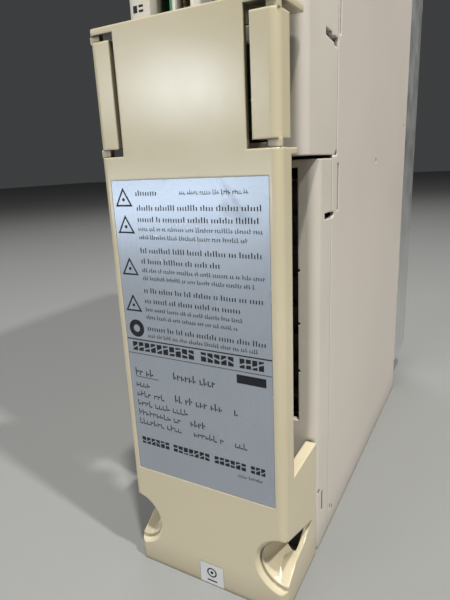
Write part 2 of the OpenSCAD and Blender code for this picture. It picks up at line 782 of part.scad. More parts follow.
module board_standoffs() {
    color([0.78, 0.72, 0.50]) seat() {
        // between the left panel and the power board
        for (y = [power_y0 + 6, power_y1 - 6], z = [power_z0 + 6, power_z1 - 6]) difference() {
            rod_x(y, z, -half + sheet, power_x, 3.2);
            rod_x(y, z, power_x - 3.5, power_x + 1, 1.55);
        }
        // between the left panel and the control board
        for (y = [44, 196], z = [control_z0 + 8, control_z1 - 8]) {
            x0 = y < bezel_back ? -half + moulded_wall : -half + sheet;
            difference() {
                rod_x(y, z, x0, control_x, 3.2);
                rod_x(y, z, control_x - 8, control_x + 1, 1.55);
            }
        }
    }
}

// Small screw whose head sits on a board face and whose shank runs towards -X.
module board_screw(x, y, z) {
    rod_x(y, z, x, x + 2, 2.8);
    rod_x(y, z, x - board_t - 3, x + 0.05, 1.5);
}

module board_screws() {
    color([0.75, 0.75, 0.74]) seat() {
        for (y = [power_y0 + 6, power_y1 - 6], z = [power_z0 + 6, power_z1 - 6])
            board_screw(power_x + board_t, y, z);
        for (y = [44, 196], z = [control_z0 + 8, control_z1 - 8])
            board_screw(control_x + board_t, y, z);
    }
}

module insulating_sheet() {
    color([0.86, 0.84, 0.74]) seat() difference() {
        span([-half + sheet + 0.3, power_y0 - 8, power_z0 - 10],
            [-half + sheet + 0.8, power_y1 + 8, power_z1 + 4]);
        for (y = [power_y0 + 6, power_y1 - 6], z = [power_z0 + 6, power_z1 - 6])
            rod_x(y, z, -half, -half + 4, 3.5);
    }
}

ribbon_y = 170;
ribbon_x = [control_x + board_t + 6, power_x + board_t + 6];

module ribbon_headers() {
    color([0.12, 0.12, 0.13]) seat() {
        span([control_x + board_t, ribbon_y, 192], [ribbon_x[0], ribbon_y + 14, 200]);
        span([power_x + board_t, ribbon_y, 158], [ribbon_x[1], ribbon_y + 14, 166]);
    }
}

module ribbon_cable() {
    cable_t = 1;
    turn_z = 176;             // height at which the cable crosses over
    x_low = ribbon_x[1];
    x_high = ribbon_x[0];
    color([0.62, 0.64, 0.66]) seat() {
        span([x_low, ribbon_y + 1, 158.5], [x_low + cable_t, ribbon_y + 13, turn_z + 0.1]);
        span([x_low, ribbon_y + 1, turn_z], [x_high + cable_t, ribbon_y + 13, turn_z + cable_t]);
        span([x_high, ribbon_y + 1, turn_z], [x_high + cable_t, ribbon_y + 13, 199.5]);
    }
}

// ---------------------------------------------------------------- front controls

module display_board() {
    color([0.10, 0.32, 0.18]) seat()
        span([-31, display_y, bay_z1 + 3], [31, display_y + board_t, height - 5]);
}

module status_display() {
    color([0.14, 0.13, 0.13]) seat() difference() {
        span([window_x0 + 1.4, bezel_y + 3.4, window_z0 + 0.6],
            [window_x0 + window_w - 1.4, display_y, window_z0 + window_h - 0.6]);
        // seven segment digits sunk in the face
        for (d = [0, 1]) translate([window_x0 + 3.2 + d * 6.4, bezel_y + 3.3, window_z0 + 3]) {
            for (z = [0, 4.4, 8.8]) translate([0.6, 0, z]) cube([3.6, 0.5, 0.8]);
            for (x = [0, 4.2], z = [0.6, 5]) translate([x, 0, z]) cube([0.8, 0.5, 4]);
        }
    }
}

module display_window() {
    color([0.45, 0.10, 0.09]) seat()
        span([window_x0 - 1.4, bezel_y + 0.1, window_z0 - 1.4],
            [window_x0 + window_w + 1.4, bezel_y + 1, window_z0 + window_h + 1.4]);
}

module axis_switch_body() {
    color([0.10, 0.10, 0.11]) seat() difference() {
        span([dial_x - 5.5, bezel_y + 5.2, dial_z - 5.5], [dial_x + 5.5, display_y, dial_z + 5.5]);
        rod_y(dial_x, dial_z, bezel_y + 4, bezel_y + 9, 2.05);
    }
}

module axis_switch_dial() {
    color([0.88, 0.86, 0.80]) seat() difference() {
        union() {
            rod_y(dial_x, dial_z, bezel_y + 0.8, bezel_y + 4.9, dial_r);
            rod_y(dial_x, dial_z, bezel_y + 4.8, bezel_y + 8.6, 2.0);
        }
        // screwdriver slot and its arrow head
        translate([dial_x, bezel_y + 0.8, dial_z]) cube([1, 2, 5.4], center = true);
        translate([dial_x, bezel_y, dial_z + 1.6]) rotate([-90, 30, 0]) cylinder(h = 1.8, r = 1.3, $fn = 3);
    }
}

module reset_switch() {
    color([0.20, 0.20, 0.21]) seat() difference() {
        span([button_x - 3.5, bezel_y + 7.8, button_z - 3.5], [button_x + 3.5, display_y, button_z + 3.5]);
        rod_y(button_x, button_z, bezel_y + 7, bezel_y + 10, 1.7);
    }
}

module reset_button() {
    color([0.62, 0.15, 0.13]) seat() {
        rod_y(button_x, button_z, bezel_y + 0.5, bezel_y + 6.4, button_r);
        rod_y(button_x, button_z, bezel_y + 6.3, bezel_y + 8.6, 1.6);
    }
}

module dip_switch_body() {
    color([0.55, 0.16, 0.13]) seat() difference() {
        span([dip_x0 - 1, bezel_y + 3.2, dip_z0 - 1.2],
            [dip_x0 + dip_count * dip_pitch + 1, display_y, dip_z0 + 7.2]);
        for (i = [0 : dip_count - 1])
            span([dip_x0 + i * dip_pitch + 0.6, bezel_y + 3, dip_z0 + 0.9],
                [dip_x0 + i * dip_pitch + 2.4, bezel_y + 6, dip_z0 + 5.1]);
    }
}

module dip_slider(i) {
    color([0.92, 0.91, 0.88]) seat()
        span([dip_x0 + i * dip_pitch + 0.7, bezel_y + 2.2, dip_z0 + 1.1],
            [dip_x0 + i * dip_pitch + 2.3, bezel_y + 5.8, dip_z0 + 2.9]);
}

module charge_lamp() {
    color([0.80, 0.20, 0.12]) seat() {
        rod_y(button_x, lamp_z, bezel_y + 0.6, bezel_y + 4, 2.0);
        rod_y(button_x, lamp_z, bezel_y + 3.9, display_y, 2.6);
    }
}

side_panel_right();
side_panel_left();
mounting_plate();
top_plate();
bottom_plate();
upper_bezel();
lower_frame();
heat_sink();
heat_sink_screws();
case_screws();
fan_frame();
fan_rotor();
fan_guard();
fan_screws();
terminal_cover();
latch_tab_right();
latch_tab_left();
rating_label();
mark_sticker();
terminal_block();
terminal_plates();
terminal_screws();
earth_plate();
earth_screws();
control_board();
signal_sockets();
control_chips();
power_board();
bus_capacitors();
capacitor_clamp();
current_sensors();
relay();
power_transformer();
fuse_holder();
control_fuse();
power_module();
thermal_pad();
module_screws();
bus_bars();
board_standoffs();
board_screws();
insulating_sheet();
ribbon_cable();
ribbon_headers();
display_board();
status_display();
display_window();
axis_switch_body();
axis_switch_dial();
reset_switch();
reset_button();
dip_switch_body();
dip_slider(0);  // dip_slider_1
dip_slider(1);  // dip_slider_2
dip_slider(2);  // dip_slider_3
dip_slider(3);  // dip_slider_4
charge_lamp();
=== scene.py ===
import json
import math
import random

import bmesh
import bpy
from mathutils import Matrix, Vector


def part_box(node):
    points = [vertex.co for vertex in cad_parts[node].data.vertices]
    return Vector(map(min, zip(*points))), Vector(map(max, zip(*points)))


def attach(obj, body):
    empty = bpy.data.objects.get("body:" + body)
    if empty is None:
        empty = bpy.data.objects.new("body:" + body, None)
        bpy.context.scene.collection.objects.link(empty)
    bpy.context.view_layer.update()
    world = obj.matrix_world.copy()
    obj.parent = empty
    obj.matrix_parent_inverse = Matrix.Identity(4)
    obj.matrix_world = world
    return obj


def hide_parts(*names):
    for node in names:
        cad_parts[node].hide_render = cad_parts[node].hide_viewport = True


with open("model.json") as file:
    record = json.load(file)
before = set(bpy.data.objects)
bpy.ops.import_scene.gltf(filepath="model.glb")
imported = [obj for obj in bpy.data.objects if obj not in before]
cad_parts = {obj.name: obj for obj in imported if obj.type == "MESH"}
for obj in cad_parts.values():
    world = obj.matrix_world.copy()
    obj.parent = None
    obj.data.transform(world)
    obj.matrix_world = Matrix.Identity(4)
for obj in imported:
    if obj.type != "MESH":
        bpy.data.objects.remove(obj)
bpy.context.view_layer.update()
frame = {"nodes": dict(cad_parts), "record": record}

NODES = frame["nodes"]
MM = 0.001
LEG_PITCH = 1.27 * MM                   # between chip legs, and between board tracks
PART_GRID = 2.54 * MM                   # grid on which the small parts stand
PLUG_SOCKET_TALL = 20 * MM              # least height of a socket that takes a plug

cover_low, cover_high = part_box("terminal_cover")
W = cover_high.x - cover_low.x          # the cover's width is the unit of the camera's distances
FRONT = cover_low.y                     # plane of the cover's front face
MIDDLE = Vector((0, 0, 0.18))           # what the lights aim at


# ---------------------------------------------------------------- camera, floor, light

def make_camera():
    """Camera at the drive's right front, a little above its middle."""
    azimuth, elevation, roll = math.radians(29.279), math.radians(15.437), math.radians(-2.638)
    back = Vector((math.sin(azimuth) * math.cos(elevation), -math.cos(azimuth) * math.cos(elevation),
                   math.sin(elevation)))
    level_right = (-back).cross(Vector((0, 0, 1))).normalized()
    level_up = level_right.cross(-back)
    right = math.cos(roll) * level_right + math.sin(roll) * level_up
    up = -math.sin(roll) * level_right + math.cos(roll) * level_up
    data = bpy.data.cameras.new("camera")
    data.sensor_fit = "VERTICAL"
    data.sensor_height = 36
    data.lens = 29.13
    data.clip_start = 0.01
    camera = bpy.data.objects.new("camera", data)
    place = Vector((1.3134 * W, FRONT - 1.9845 * W, 2.4255 * W))
    camera.matrix_world = Matrix((
        (right.x, up.x, back.x, place.x),
        (right.y, up.y, back.y, place.y),
        (right.z, up.z, back.z, place.z),
        (0, 0, 0, 1)))
    bpy.context.scene.collection.objects.link(camera)
    bpy.context.scene.camera = camera


def make_light(name, azimuth, elevation, distance, size, power, tint=(1, 1, 1)):
    """Area light aimed at the drive; azimuth 0 stands in front of it, and 90 at its right."""
    turn, lift = math.radians(azimuth), math.radians(elevation)
    back = Vector((math.sin(turn) * math.cos(lift), -math.cos(turn) * math.cos(lift), math.sin(lift)))
    data = bpy.data.lights.new(name, "AREA")
    data.shape = "RECTANGLE"
    data.size, data.size_y = size
    data.energy = power
    data.color = tint
    light = bpy.data.objects.new(name, data)
    light.location = MIDDLE + distance * back
    light.rotation_euler = back.to_track_quat("Z", "Y").to_euler()
    bpy.context.scene.collection.objects.link(light)


def make_studio():
    """World, lights and a plain pale floor."""
    scene = bpy.context.scene
    scene.view_settings.view_transform = "Standard"
    world = bpy.data.worlds.new("studio")
    world.use_nodes = True
    background = world.node_tree.nodes["Background"]
    background.inputs["Color"].default_value = (0.95, 0.97, 1.0, 1)
    background.inputs["Strength"].default_value = 0.05
    scene.world = world
    # name, azimuth, elevation, distance in metres, size in metres, power, tint
    make_light("right_key", 70, 52, 1.5, (0.06, 0.06), 18, (0.975, 0.98, 0.94))
    make_light("upper_key", 35, 66, 1.5, (0.06, 0.06), 16.5, (0.975, 0.98, 0.93))
    make_light("overhead", 0, 88, 1.6, (0.4, 0.4), 3, (1, 0.98, 0.94))
    make_light("right_strip", 70, 12, 1.5, (0.10, 0.90), 0.8, (1, 0.98, 0.94))
    make_light("left_spot", -30, 8.4, 1.5, (0.22, 0.12), 1.2, (0.84, 0.92, 1.0))
    make_light("left_band", -36, 7.9, 1.5, (1.00, 0.20), 1.9, (0.84, 0.92, 1.0))
    make_light("low_glow", -30, -4, 1.1, (0.60, 0.10), 1.2, (0.75, 0.87, 1.0))
    make_light("front", -25, 35, 1.5, (0.5, 0.5), 2.5, (1, 0.97, 0.93))
    make_light("rear", 205, 40, 1.7, (0.9, 0.9), 6)
    make_light("rear_left", 285, 25, 1.7, (0.7, 0.7), 5)

    mesh = bpy.data.meshes.new("floor")
    half = 6.0
    corners = [(-half, -half, 0), (half, -half, 0), (half, half, 0), (-half, half, 0)]
    mesh.from_pydata(corners, [], [(0, 1, 2, 3)])
    floor = bpy.data.objects.new("floor", mesh)
    scene.collection.objects.link(floor)
    floor.data.materials.append(plain_floor())


# ---------------------------------------------------------------- materials

class Shader:
    """Builds one node-based material in the drive's own coordinates, in metres."""

    def __init__(self, name, roughness=0.5, metallic=0.0, **sockets):
        self.mat = bpy.data.materials.new(name)
        self.mat.use_nodes = True
        self.nodes = self.mat.node_tree.nodes
        self.links = self.mat.node_tree.links
        self.nodes.clear()
        output = self.nodes.new("ShaderNodeOutputMaterial")
        self.bsdf = self.nodes.new("ShaderNodeBsdfPrincipled")
        self.links.new(self.bsdf.outputs["BSDF"], output.inputs["Surface"])
        self.bsdf.inputs["Roughness"].default_value = roughness
        self.bsdf.inputs["Metallic"].default_value = metallic
        for socket, value in sockets.items():
            self.bsdf.inputs[socket.replace("_", " ")].default_value = value
        self.place = self.nodes.new("ShaderNodeTexCoord").outputs["Object"]
        self.normal = None

    def put(self, socket, value):
        """Links value to a node's input, or sets it there."""
        if isinstance(value, bpy.types.NodeSocket):
            self.links.new(value, socket)
        else:
            socket.default_value = value

    def stretched(self, stretch):
        """The surface point, scaled along each axis."""
        node = self.nodes.new("ShaderNodeMapping")
        node.inputs["Scale"].default_value = stretch
        self.links.new(self.place, node.inputs["Vector"])
        return node.outputs["Vector"]

    def noise(self, scale, detail, rough=0.5, stretch=(1, 1, 1), distortion=0.0):
        """Cloudy value between 0 and 1; scale is in features per metre."""
        node = self.nodes.new("ShaderNodeTexNoise")
        self.links.new(self.stretched(stretch), node.inputs["Vector"])
        node.inputs["Scale"].default_value = scale
        node.inputs["Detail"].default_value = detail
        node.inputs["Roughness"].default_value = rough
        node.inputs["Distortion"].default_value = distortion
        return node.outputs["Fac"]

    def cells(self, scale):
        """Distance to the nearest of many scattered points."""
        node = self.nodes.new("ShaderNodeTexVoronoi")
        self.links.new(self.place, node.inputs["Vector"])
        node.inputs["Scale"].default_value = scale
        return node.outputs["Distance"]

    def remap(self, value, low, high, out_low=0.0, out_high=1.0):
        """Maps low..high to out_low..out_high and holds it there beyond."""
        node = self.nodes.new("ShaderNodeMapRange")
        node.inputs["From Min"].default_value = low
        node.inputs["From Max"].default_value = high
        node.inputs["To Min"].default_value = out_low
        node.inputs["To Max"].default_value = out_high
        self.put(node.inputs["Value"], value)
        return node.outputs["Result"]

    def math(self, operation, a, b=0.0):
        """Result of one arithmetic step."""
        node = self.nodes.new("ShaderNodeMath")
        node.operation = operation
        self.put(node.inputs[0], a)
        self.put(node.inputs[1], b)
        return node.outputs[0]

    def mix(self, amount, a, b):
        """Colour a at 0, colour b at 1."""
        node = self.nodes.new("ShaderNodeMix")
        node.data_type = "RGBA"
        self.put(node.inputs["Factor"], amount)
        for socket, value in ((node.inputs[6], a), (node.inputs[7], b)):
            self.put(socket, value if isinstance(value, bpy.types.NodeSocket) else (*value[:3], 1))
        return node.outputs[2]

    def openness(self, reach, low, high):
        """0 where the surroundings within reach cover most of the view, 1 on open faces."""
        node = self.nodes.new("ShaderNodeAmbientOcclusion")
        node.samples = 8
        node.inputs["Distance"].default_value = reach
        return self.remap(node.outputs["AO"], low, high)

    def recess_shade(self):
        """Mask for painted shade: 0 deep in a gap, in a narrow slit or in a corner, 1 on open faces."""
        wide = self.openness(0.03, 0.10, 0.72)
        narrow = self.openness(0.0035, 0.38, 0.80)
        return self.math("MULTIPLY", wide, narrow)

    def bump(self, height, distance, strength):
        """Adds relief of that many metres on top of what is there already."""
        node = self.nodes.new("ShaderNodeBump")
        node.inputs["Distance"].default_value = distance
        node.inputs["Strength"].default_value = strength
        self.put(node.inputs["Height"], height)
        if self.normal is not None:
            self.links.new(self.normal, node.inputs["Normal"])
        self.normal = node.outputs["Normal"]

    def edges(self, radius, low=0.01, high=0.13):
        """1 near sharp edges, 0 on flat faces; also starts the normal that makes them look rounded."""
        bevel = self.nodes.new("ShaderNodeBevel")
        bevel.samples = 6
        bevel.inputs["Radius"].default_value = radius
        if self.normal is None:
            self.normal = bevel.outputs["Normal"]
        geometry = self.nodes.new("ShaderNodeNewGeometry")
        dot = self.nodes.new("ShaderNodeVectorMath")
        dot.operation = "DOT_PRODUCT"
        self.links.new(bevel.outputs["Normal"], dot.inputs[0])
        self.links.new(geometry.outputs["Normal"], dot.inputs[1])
        turned = self.math("SUBTRACT", 1.0, dot.outputs["Value"])
        return self.remap(turned, low, high)

    def axis(self, name):
        """One coordinate of the surface point, in metres."""
        split = self.nodes.new("ShaderNodeSeparateXYZ")
        self.links.new(self.place, split.inputs[0])
        return split.outputs[name]

    def done(self, colour, roughness=None):
        """Plugs the colour, the roughness and the normal in and returns the material."""
        self.put(self.bsdf.inputs["Base Color"], colour)
        if roughness is not None:
            self.put(self.bsdf.inputs["Roughness"], roughness)
        if self.normal is not None:
            self.links.new(self.normal, self.bsdf.inputs["Normal"])
        return self.mat


def shade(colour, factor, tint=(1, 1, 1)):
    """The colour made darker or lighter, and tinted."""
    return tuple(c * factor * t for c, t in zip(colour, tint))


def plain_floor():
    """Matt, nearly even grey."""
    s = Shader("studio_floor", roughness=0.8)
    colour = s.mix(s.noise(2.0, 2), (0.25, 0.25, 0.247), (0.265, 0.265, 0.262))
    return s.done(colour)


def moulded(name, colour, rough, edge_highlight, grain=0.5, yellow=0.0, streak=0.0, **sockets):
    """Injection-moulded plastic: cloudy tint, fine grain, scuffs and softened edges; edges carry a patchy
    painted highlight and recesses painted shade.
    """
    s = Shader(name, **sockets)
    cloud = s.remap(s.noise(14, 3, 0.55), 0.3, 0.7)
    body = s.mix(cloud, shade(colour, 0.95, (1.0, 0.995, 0.98 - yellow)), shade(colour, 1.04))
    fleck = s.remap(s.noise(1500, 2, 0.6), 0.60, 0.75)
    body = s.mix(s.math("MULTIPLY", fleck, 0.10), body, shade(colour, 0.72))
    scuff = s.remap(s.noise(420, 6, 0.75, (1, 1, 0.06)), 0.60, 0.72)
    body = s.mix(s.math("MULTIPLY", scuff, 0.07), body, shade(colour, 1.25))
    edge = s.edges(0.0009)
    # painted highlight: patchy lightening along the edges, standing in for light caught by rounded edges
    patchy = s.remap(s.noise(90, 4, 0.6), 0.35, 0.6, 0.5, 1.0)
    edge_highlight_mask = s.math("MULTIPLY", s.math("MULTIPLY", edge, patchy), edge_highlight)
    body = s.mix(edge_highlight_mask, body, shade(colour, 1.45))
    # painted shade: colour darkened towards brown in gaps, slits and corners
    body = s.mix(s.recess_shade(), shade(colour, 0.22, (1, 0.92, 0.8)), body)
    spread = s.remap(s.noise(30, 4, 0.6), 0.3, 0.7, rough * 0.85, rough * 1.2)
    if streak:
        drawn = s.noise(1500, 3, 0.6, (1, 1, 0.02))
        spread = s.math("ADD", spread, s.remap(drawn, 0.3, 0.7, -streak, streak))
    s.bump(s.noise(2600, 2, 0.6), 0.00004, grain)
    s.bump(s.noise(26, 2, 0.4), 0.0004, 0.12)
    return s.done(body, s.math("SUBTRACT", spread, s.math("MULTIPLY", scuff, 0.05)))


def painted_steel(name, colour):
    """Stoved paint on sheet steel: orange peel, faint rub marks and dull, slightly chipped edges; edges
    carry a painted highlight and recesses painted shade.
    """
    s = Shader(name)
    cloud = s.remap(s.noise(6, 3, 0.5, (1, 1, 0.5)), 0.3, 0.7)
    body = s.mix(cloud, shade(colour, 0.965, (1, 0.99, 0.975)), shade(colour, 1.03))
    rub = s.remap(s.noise(60, 6, 0.75, (1, 0.25, 1), 1.0), 0.62, 0.78)
    body = s.mix(s.math("MULTIPLY", rub, 0.12), body, shade(colour, 1.18))
    spot = s.remap(s.cells(260), 0.0, 0.055, 1.0, 0.0)
    rare = s.remap(s.noise(35, 2), 0.62, 0.66)
    body = s.mix(s.math("MULTIPLY", s.math("MULTIPLY", spot, rare), 0.5), body, shade(colour, 0.45))
    edge = s.edges(0.0018, 0.003, 0.05)
    # painted highlight: edges lightened, standing in for light caught by rounded edges; the chips below are
    # wear
    body = s.mix(s.math("MULTIPLY", edge, 0.8), body, shade(colour, 1.55))
    chip = s.remap(s.noise(240, 4, 0.7), 0.60, 0.68)
    body = s.mix(s.math("MULTIPLY", s.math("MULTIPLY", edge, chip), 0.4), body, (0.30, 0.29, 0.28))
    # painted shade: colour darkened in gaps, slits and corners
    body = s.mix(s.recess_shade(), shade(colour, 0.22, (1, 0.95, 0.88)), body)
    spread = s.remap(s.noise(18, 4, 0.6), 0.3, 0.7, 0.37, 0.50)
    s.bump(s.noise(900, 2, 0.5), 0.00003, 0.55)
    s.bump(s.noise(12, 1, 0.4), 0.0006, 0.10)
    return s.done(body, spread)


def extruded_aluminium(name, colour):
    """Bare extrusion: fine upright die lines and faint stains."""
    s = Shader(name, metallic=1.0)
    streak = s.noise(700, 4, 0.6, (1, 1, 0.01))
    body = s.mix(s.remap(streak, 0.35, 0.65), shade(colour, 0.86), shade(colour, 1.1))
    stain = s.remap(s.noise(28, 4, 0.6), 0.55, 0.75)
    body = s.mix(s.math("MULTIPLY", stain, 0.25), body, shade(colour, 0.75, (1.03, 1.0, 0.94)))
    s.bump(streak, 0.00004, 0.5)
    return s.done(body, s.remap(s.noise(45, 4, 0.6), 0.3, 0.7, 0.38, 0.55))


def plated(name, colour, rough):
    """Zinc, brass or copper: cloudy plating, fine turning marks and dull spots."""
    s = Shader(name, metallic=1.0)
    cloud = s.remap(s.noise(220, 4, 0.6), 0.3, 0.7)
    body = s.mix(cloud, shade(colour, 0.82, (1, 0.99, 0.96)), shade(colour, 1.08))
    dull = s.remap(s.noise(600, 3, 0.6), 0.55, 0.7)
    body = s.mix(s.math("MULTIPLY", dull, 0.3), body, shade(colour, 0.6))
    s.bump(s.noise(3000, 2), 0.00002, 0.5)
    return s.done(body, s.remap(cloud, 0, 1, rough - 0.07, rough + 0.12))


def circuit_board(name, mask):
    """Green laminate: copper tracks under solder mask, tinned pads and pale print."""
    s = Shader(name, Coat_Weight=0.35, Coat_Roughness=0.15)
    lane = s.math("FRACT", s.math("MULTIPLY", s.axis("Z"), 1 / LEG_PITCH))
    gate = s.remap(s.noise(130, 1, 0.4, (1, 0.35, 1)), 0.48, 0.50)
    track = s.math("MULTIPLY", s.remap(lane, 0.45, 0.55), gate)
    cross = s.math("FRACT", s.math("MULTIPLY", s.axis("Y"), 1 / LEG_PITCH))
    cross_gate = s.remap(s.noise(110, 1, 0.4, (1, 1, 0.35)), 0.54, 0.56)
    track = s.math("MAXIMUM", track, s.math("MULTIPLY", s.remap(cross, 0.45, 0.55), cross_gate))
    body = s.mix(track, mask, shade(mask, 2.1, (1.1, 1.0, 0.9)))
    pad = s.remap(s.cells(390), 0.16, 0.19, 1.0, 0.0)
    pad = s.math("MULTIPLY", pad, s.remap(s.noise(70, 1), 0.50, 0.52))
    body = s.mix(pad, body, (0.62, 0.62, 0.60))
    s.bump(track, 0.00003, 0.6)
    return s.done(body, s.remap(pad, 0, 1, 0.34, 0.25))


def film(name, colour, rough=0.32, metallic=0.0):
    """Printed film with handling smudges and a faint vertical brushing."""
    s = Shader(name, metallic=metallic, Coat_Weight=0.12, Coat_Roughness=0.3)
    cloud = s.remap(s.noise(11, 3, 0.6), 0.3, 0.7)
    body = s.mix(cloud, shade(colour, 0.94), shade(colour, 1.05))
    grain = s.noise(1800, 3, 0.6, (1, 1, 0.05))
    body = s.mix(s.remap(grain, 0.4, 0.6, 0.0, 0.12), body, shade(colour, 0.8))
    smudge = s.remap(s.noise(42, 5, 0.65, distortion=0.8), 0.60, 0.72)
    body = s.mix(s.math("MULTIPLY", smudge, 0.35), body, shade(colour, 0.68, (1.0, 1.0, 1.04)))
    s.bump(s.noise(900, 2), 0.00001, 0.3)
    spread = s.remap(cloud, 0, 1, rough - 0.04, rough + 0.06)
    return s.done(body, s.math("ADD", spread, s.math("MULTIPLY", smudge, 0.2)))


def ink(name, colour, rough=0.6):
    """Matt print, thinner in places."""
    s = Shader(name, Specular_IOR_Level=0.25)
    body = s.mix(s.remap(s.noise(900, 4, 0.7), 0.5, 0.75), colour, shade(colour, 1.0, (1.6, 1.6, 1.7)))
    return s.done(body, s.remap(s.noise(300, 2), 0.3, 0.7, rough - 0.08, rough + 0.08))


def clear(name, colour, rough=0.08, transmission=0.7):
    """Glass or clear plastic, slightly cloudy."""
    s = Shader(name, Transmission_Weight=transmission, IOR=1.49)
    body = s.mix(s.noise(60, 2), colour, shade(colour, 0.8))
    return s.done(body, s.remap(s.noise(200, 3), 0.3, 0.7, rough, rough + 0.08))


MATERIALS = {
    "painted_panel": painted_steel("panel_paint", (0.65, 0.585, 0.53)),
    "bezel_plastic": moulded("bezel_plastic", (0.65, 0.60, 0.535), rough=0.46, grain=0.6, edge_highlight=0.5),
    "cover_plastic": moulded("cover_plastic", (0.655, 0.57, 0.405), rough=0.155, yellow=0.02, edge_highlight=0.55,
                             streak=0.035),
    "sink_aluminium": extruded_aluminium("sink_aluminium", (0.76, 0.77, 0.76)),
    "plated_steel": plated("zinc_plating", (0.60, 0.60, 0.58), 0.32),
    "black_plastic": moulded("black_plastic", (0.022, 0.022, 0.024), rough=0.42, edge_highlight=0.3),
    "label_film": film("label_film", (0.40, 0.43, 0.48), 0.24, metallic=0.45),
    "sticker_film": film("sticker_film", (0.72, 0.72, 0.71)),
    "contact_metal": plated("brass_plating", (0.72, 0.60, 0.32), 0.28),
    "board_laminate": circuit_board("board_laminate", (0.015, 0.13, 0.055)),
    "socket_plastic": moulded("socket_nylon", (0.74, 0.72, 0.66), rough=0.5, edge_highlight=0.2),
    "chip_plastic": moulded("chip_epoxy", (0.03, 0.03, 0.033), rough=0.55, edge_highlight=0.2),
    "capacitor_can": moulded("capacitor_sleeve", (0.03, 0.06, 0.20), rough=0.28, edge_highlight=0.2, Coat_Weight=0.3),
    "ferrite": moulded("ferrite", (0.06, 0.056, 0.052), rough=0.6, edge_highlight=0.2),
    "fuse_glass": clear("fuse_glass", (0.9, 0.93, 0.94), 0.04, 0.95),
    "pad_rubber": moulded("pad_rubber", (0.5, 0.5, 0.48), rough=0.7, edge_highlight=0.0),
    "bus_copper": plated("bus_copper", (0.62, 0.30, 0.15), 0.32),
    "sheet_film": moulded("sheet_film", (0.62, 0.58, 0.42), rough=0.4, edge_highlight=0.0),
    "ribbon_vinyl": moulded("ribbon_vinyl", (0.30, 0.32, 0.35), rough=0.45, edge_highlight=0.0),
    "window_red": clear("window_red", (0.50, 0.03, 0.02)),
    "button_red": moulded("button_red", (0.42, 0.045, 0.03), rough=0.4, edge_highlight=0.3),
}
PRINT_INK = ink("print_ink", (0.012, 0.012, 0.016))
LIT_SEGMENT = ink("lit_segment", (0.75, 0.10, 0.04), 0.4)


# ---------------------------------------------------------------- CAD nodes

def dress_nodes():
    """Gives every CAD node the material of its slot."""
    for row in frame["record"]["subparts"]:
        mesh = NODES[row["node"]].data
        mesh.materials.clear()
        mesh.materials.append(MATERIALS[row["material_slot"]])


def soften(node, width):
    """Rounds a CAD node's edges: welds its faces, joins flat neighbours, then bevels.

    The bevel is clamped at short edges, so width is the most it can be and often far from reached.
    """
    target = NODES[node]
    weld = target.modifiers.new("weld", "WELD")
    weld.merge_threshold = 0.01 * MM
    flat = target.modifiers.new("flat", "DECIMATE")
    flat.decimate_type = "DISSOLVE"
    flat.angle_limit = math.radians(0.5)
    bevel = target.modifiers.new("bevel", "BEVEL")
    bevel.width = width
    bevel.segments = 2
    bevel.limit_method = "ANGLE"
    bevel.angle_limit = math.radians(30)
    normals = target.modifiers.new("normals", "WEIGHTED_NORMAL")
    normals.mode = "FACE_AREA"
    normals.weight = 100
    for polygon in target.data.polygons:
        polygon.use_smooth = True


def solid_boxes(node):
    """(lowest corner, highest corner) of each separate solid of a CAD node, from the bottom up."""
    bm = bmesh.new()
    bm.from_mesh(NODES[node].data)
    bmesh.ops.remove_doubles(bm, verts=bm.verts, dist=1e-6)
    left = set(bm.verts)
    boxes = []
    while left:
        stack = [left.pop()]
        points = []
        while stack:
            vert = stack.pop()
            points.append(vert.co.copy())
            for edge in vert.link_edges:
                other = edge.other_vert(vert)
                if other in left:
                    left.remove(other)
                    stack.append(other)
        boxes.append((Vector(map(min, zip(*points))), Vector(map(max, zip(*points)))))
    bm.free()
    return sorted(boxes, key=lambda box: (round(box[0].z, 4), round(box[0].y, 4), round(box[0].x, 4)))


# ---------------------------------------------------------------- mesh helpers

def add_piece(name, bm, body, slot, material=None):
    """Turns a bmesh into a piece that rides on a body and takes its finish from a slot."""
    bmesh.ops.recalc_face_normals(bm, faces=bm.faces)
    mesh = bpy.data.meshes.new(name)
    bm.to_mesh(mesh)
    bm.free()
    mesh.materials.append(material or MATERIALS[slot])
    piece = bpy.data.objects.new(name, mesh)
    bpy.context.scene.collection.objects.link(piece)
    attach(piece, body)
    return piece


def plug_sockets():
    """Boxes of the sockets on the control board that take a plug."""
    boxes = solid_boxes("signal_sockets")
    return [(low, high) for low, high in boxes if high.z - low.z >= PLUG_SOCKET_TALL]


def add_block(bm, low, high):
    """Closed box between two corners."""
    corners = [bm.verts.new((x, y, z)) for x in (low[0], high[0]) for y in (low[1], high[1])
               for z in (low[2], high[2])]
    for face in ((0, 1, 3, 2), (4, 6, 7, 5), (0, 4, 5, 1), (2, 3, 7, 6), (0, 2, 6, 4), (1, 5, 7, 3)):
        bm.faces.new([corners[i] for i in face])


def add_loops(bm, loops, closed=True):
    """Skin over rings of equal length, with flat ends unless it closes on itself."""
    rings = [[bm.verts.new(point) for point in loop] for loop in loops]
    count = len(rings[0])
    pairs = list(zip(rings, rings[1:]))
    if closed:
        pairs.append((rings[-1], rings[0]))
    for a, b in pairs:
        for i in range(count):
            j = (i + 1) % count
            bm.faces.new((a[i], a[j], b[j], b[i]))
    if not closed:
        bm.faces.new(rings[0][::-1])
        bm.faces.new(rings[-1])


